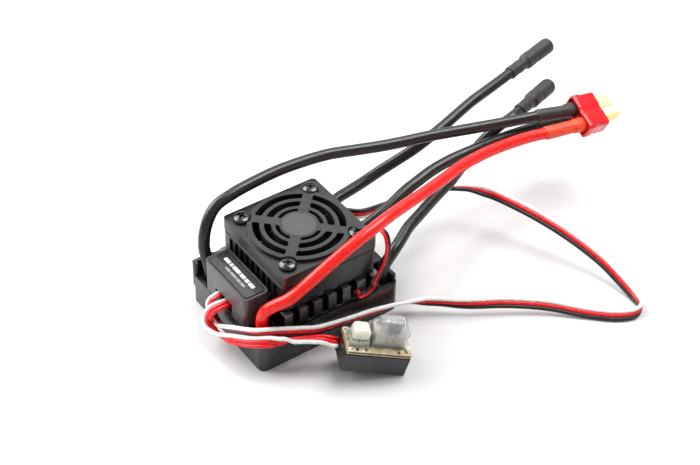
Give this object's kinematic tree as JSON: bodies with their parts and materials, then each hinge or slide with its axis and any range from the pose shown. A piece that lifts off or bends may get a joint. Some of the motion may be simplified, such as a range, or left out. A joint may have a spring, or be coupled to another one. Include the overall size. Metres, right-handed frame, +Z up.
{
  "type": "electronic speed controller",
  "caption": "Electronic speed controller with a fan-cooled case, a two-pole battery plug, motor leads ending in bullet sockets, a receiver lead, and a switch module on a short lead.",
  "frame": {"origin": "centre of the case's flat underside, on the surface it stands on", "axes": "+X from the label end, where the battery leads come out, to the motor lead end; +Y across the case, away from the switch module; +Z up through the fan"},
  "size_m": [0.1529, 0.0951, 0.0373],
  "materials": {
    "case_plastic": "satin moulded black plastic",
    "anodised_black": "black anodised",
    "fan_plastic": "satin moulded black plastic",
    "black_silicone": "satin silicone wire jacket",
    "red_silicone": "glossy silicone wire jacket",
    "black_sleeve": "matte heat-shrink sleeve",
    "red_sleeve": "satin heat-shrink sleeve",
    "plug_red": "glossy moulded nylon",
    "gold": "gold plated",
    "bright_metal": "nickel plated stamping",
    "board": "glass-epoxy laminate",
    "dark_part": "moulded, dull",
    "ribbon_white": "vinyl wire jacket",
    "clear_silicone": "translucent silicone",
    "cream_silicone": "translucent silicone",
    "label": "printed film, satin",
    "rubber": "matte",
    "thermal_grey": "soft filled pad, matte",
    "screw_metal": "black nickel plated"
  },
  "bodies": {
    "controller": {"base_tray": "case_plastic", "battery_lead_negative": "black_silicone", "battery_lead_positive": "red_silicone", "battery_seal_negative": "rubber", "battery_seal_positive": "rubber", "battery_sleeve_negative": "black_sleeve", "battery_sleeve_positive": "red_sleeve", "board_connector": "dark_part", "bullet_sleeve_front": "black_sleeve", "bullet_sleeve_middle": "black_sleeve", "bullet_sleeve_rear": "black_sleeve", "bullet_socket_front": "gold", "bullet_socket_middle": "gold", "bullet_socket_rear": "gold", "cable_grommet": "rubber", "capacitor_1": "dark_part", "capacitor_2": "dark_part", "control_board": "board", "fan_frame": "fan_plastic", "fan_guard": "case_plastic", "fan_lead": "red_silicone", "fan_shroud": "case_plastic", "fan_stator": "gold", "guard_screw_1": "screw_metal", "guard_screw_2": "screw_metal", "guard_screw_3": "screw_metal", "guard_screw_4": "screw_metal", "heat_sink": "anodised_black", "label_cover": "case_plastic", "label_plate": "label", "motor_end_cover": "case_plastic", "motor_lead_front": "black_silicone", "motor_lead_middle": "black_silicone", "motor_lead_rear": "black_silicone", "motor_seal_front": "rubber", "motor_seal_middle": "rubber", "motor_seal_rear": "rubber", "plug_blade_flat": "gold", "plug_blade_upright": "gold", "plug_housing": "plug_red", "power_board": "board", "receiver_lead": "ribbon_white", "receiver_plug": "dark_part", "set_button_base": "cream_silicone", "status_led": "clear_silicone", "switch_board": "board", "switch_boot": "clear_silicone", "switch_case": "bright_metal", "switch_lead": "ribbon_white", "switch_potting": "dark_part", "switch_tray": "case_plastic", "thermal_pad": "thermal_grey", "transistor_bank_a": "dark_part", "transistor_bank_b": "dark_part", "transistor_bank_c": "dark_part"},
    "fan_wheel": {"fan_rotor": "fan_plastic"},
    "power_slider": {"switch_slider": "dark_part"},
    "set_button": {"set_button_cap": "cream_silicone"}
  },
  "joints": [
    {"name": "fan_spin", "type": "hinge", "parent": "controller", "child": "fan_wheel", "pos_m": [0.0014, 0, 0.0226], "axis": [0, 0, 1], "continuous": true},
    {"name": "power_switch_slide", "type": "slide", "parent": "controller", "child": "power_slider", "axis": [0.8706, -0.4152, -0.2639], "range_m": [-0.002, 0]},
    {"name": "set_button_press", "type": "slide", "parent": "controller", "child": "set_button", "axis": [-0.2382, 0.1136, -0.9646], "range_m": [0, 0.0004], "stiffness_N_per_m": 500}
  ]
}
